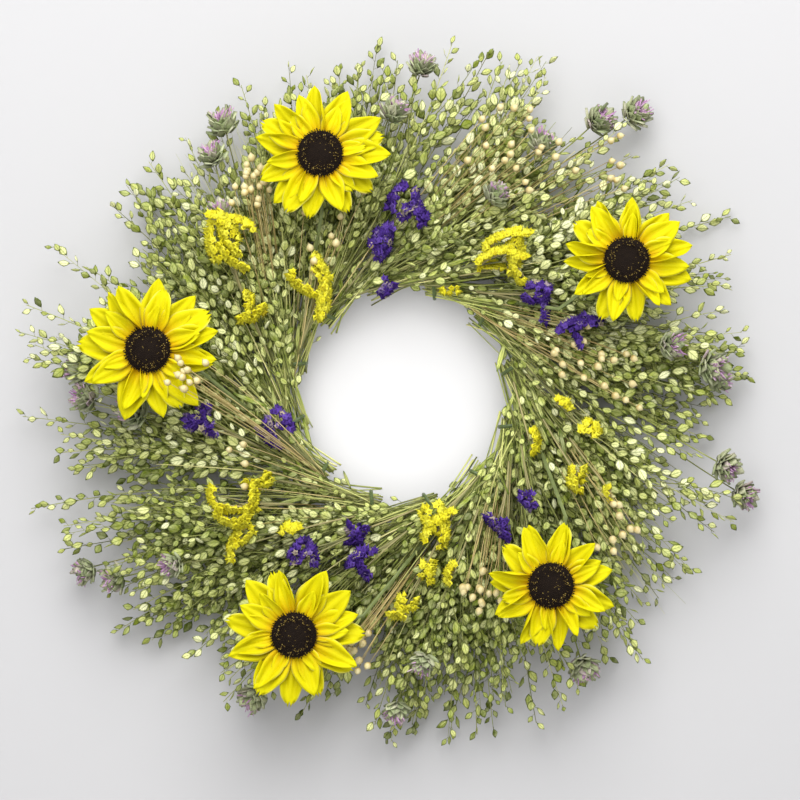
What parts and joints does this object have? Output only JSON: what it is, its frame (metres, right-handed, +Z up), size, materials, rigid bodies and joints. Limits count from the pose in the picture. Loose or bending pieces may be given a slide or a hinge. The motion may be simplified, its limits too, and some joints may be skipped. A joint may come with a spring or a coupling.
{
  "type": "harvest door wreath",
  "caption": "Round wreath of dried seed-pod sprays and statice clamped to a wire ring, with artificial sunflowers on wired stems and a wire hanging loop.",
  "frame": {"origin": "on the wall plane at the top of the nail, under the hanging loop's crown", "axes": "+Z up, the front of the wreath faces -Y, the wall is the plane y = 0, +X to the right seen from the front"},
  "size_m": [0.5223, 0.0933, 0.4986],
  "materials": {
    "ring_wire": "dark green painted florist's wire, satin",
    "clamp_wire": "dark green painted wire, satin",
    "hanger_wire": "dark green painted wire, satin",
    "foliage": "dried seed-pod sprays, papery, sage green with straw stems",
    "pick_stem": "green plastic over wire",
    "calyx": "green moulded plastic",
    "petals": "pressed polyester petals, bright yellow, orange at the base",
    "seed_disc": "flocked brown-black with yellow-tan flecks",
    "yellow_statice": "dried papery florets, lemon yellow",
    "purple_statice": "dried papery florets, deep violet"
  },
  "bodies": {
    "wreath": {"ring_wire": "ring_wire", "hanger_barrel": "ring_wire", "clamp_1": "clamp_wire", "bunch_1": "foliage", "clamp_2": "clamp_wire", "bunch_2": "foliage", "clamp_3": "clamp_wire", "bunch_3": "foliage", "clamp_4": "clamp_wire", "bunch_4": "foliage", "clamp_5": "clamp_wire", "bunch_5": "foliage", "clamp_6": "clamp_wire", "bunch_6": "foliage", "clamp_7": "clamp_wire", "bunch_7": "foliage", "clamp_8": "clamp_wire", "bunch_8": "foliage", "clamp_9": "clamp_wire", "bunch_9": "foliage", "clamp_10": "clamp_wire", "bunch_10": "foliage", "clamp_11": "clamp_wire", "bunch_11": "foliage", "clamp_12": "clamp_wire", "bunch_12": "foliage", "stem_top_left": "pick_stem", "stem_right": "pick_stem", "stem_lower_right": "pick_stem", "stem_lower_left": "pick_stem", "stem_left": "pick_stem", "yellow_statice_upper_left": "yellow_statice", "yellow_statice_inner_left": "yellow_statice", "yellow_statice_upper_right": "yellow_statice", "yellow_statice_bottom": "yellow_statice", "yellow_statice_lower_left": "yellow_statice", "purple_statice_top": "purple_statice", "purple_statice_right": "purple_statice", "purple_statice_left": "purple_statice"},
    "hanger": {"hanger_loop": "hanger_wire"},
    "sunflower_top_left": {"calyx_top_left": "calyx", "back_petals_top_left": "petals", "front_petals_top_left": "petals", "disc_top_left": "seed_disc"},
    "sunflower_right": {"calyx_right": "calyx", "back_petals_right": "petals", "front_petals_right": "petals", "disc_right": "seed_disc"},
    "sunflower_lower_right": {"calyx_lower_right": "calyx", "back_petals_lower_right": "petals", "front_petals_lower_right": "petals", "disc_lower_right": "seed_disc"},
    "sunflower_lower_left": {"calyx_lower_left": "calyx", "back_petals_lower_left": "petals", "front_petals_lower_left": "petals", "disc_lower_left": "seed_disc"},
    "sunflower_left": {"calyx_left": "calyx", "back_petals_left": "petals", "front_petals_left": "petals", "disc_left": "seed_disc"}
  },
  "joints": [
    {"name": "hanger_swing", "type": "hinge", "parent": "wreath", "child": "hanger", "pos_m": [0, -0.0032, -0.03475], "axis": [-1, 0, 0], "range_deg": [0, 120]},
    {"name": "tilt_top_left", "type": "hinge", "parent": "wreath", "child": "sunflower_top_left", "pos_m": [-0.05749, -0.073, 0.04418], "axis": [1, 0, 0], "range_deg": [-12, 12]},
    {"name": "tilt_right", "type": "hinge", "parent": "wreath", "child": "sunflower_right", "pos_m": [0.15541, -0.073, -0.03], "axis": [1, 0, 0], "range_deg": [-12, 12]},
    {"name": "tilt_lower_right", "type": "hinge", "parent": "wreath", "child": "sunflower_lower_right", "pos_m": [0.10295, -0.073, -0.256], "axis": [1, 0, 0], "range_deg": [-12, 12]},
    {"name": "tilt_lower_left", "type": "hinge", "parent": "wreath", "child": "sunflower_lower_left", "pos_m": [-0.0756, -0.073, -0.29041], "axis": [1, 0, 0], "range_deg": [-12, 12]},
    {"name": "tilt_left", "type": "hinge", "parent": "wreath", "child": "sunflower_left", "pos_m": [-0.17721, -0.073, -0.09219], "axis": [1, 0, 0], "range_deg": [-12, 12]}
  ]
}
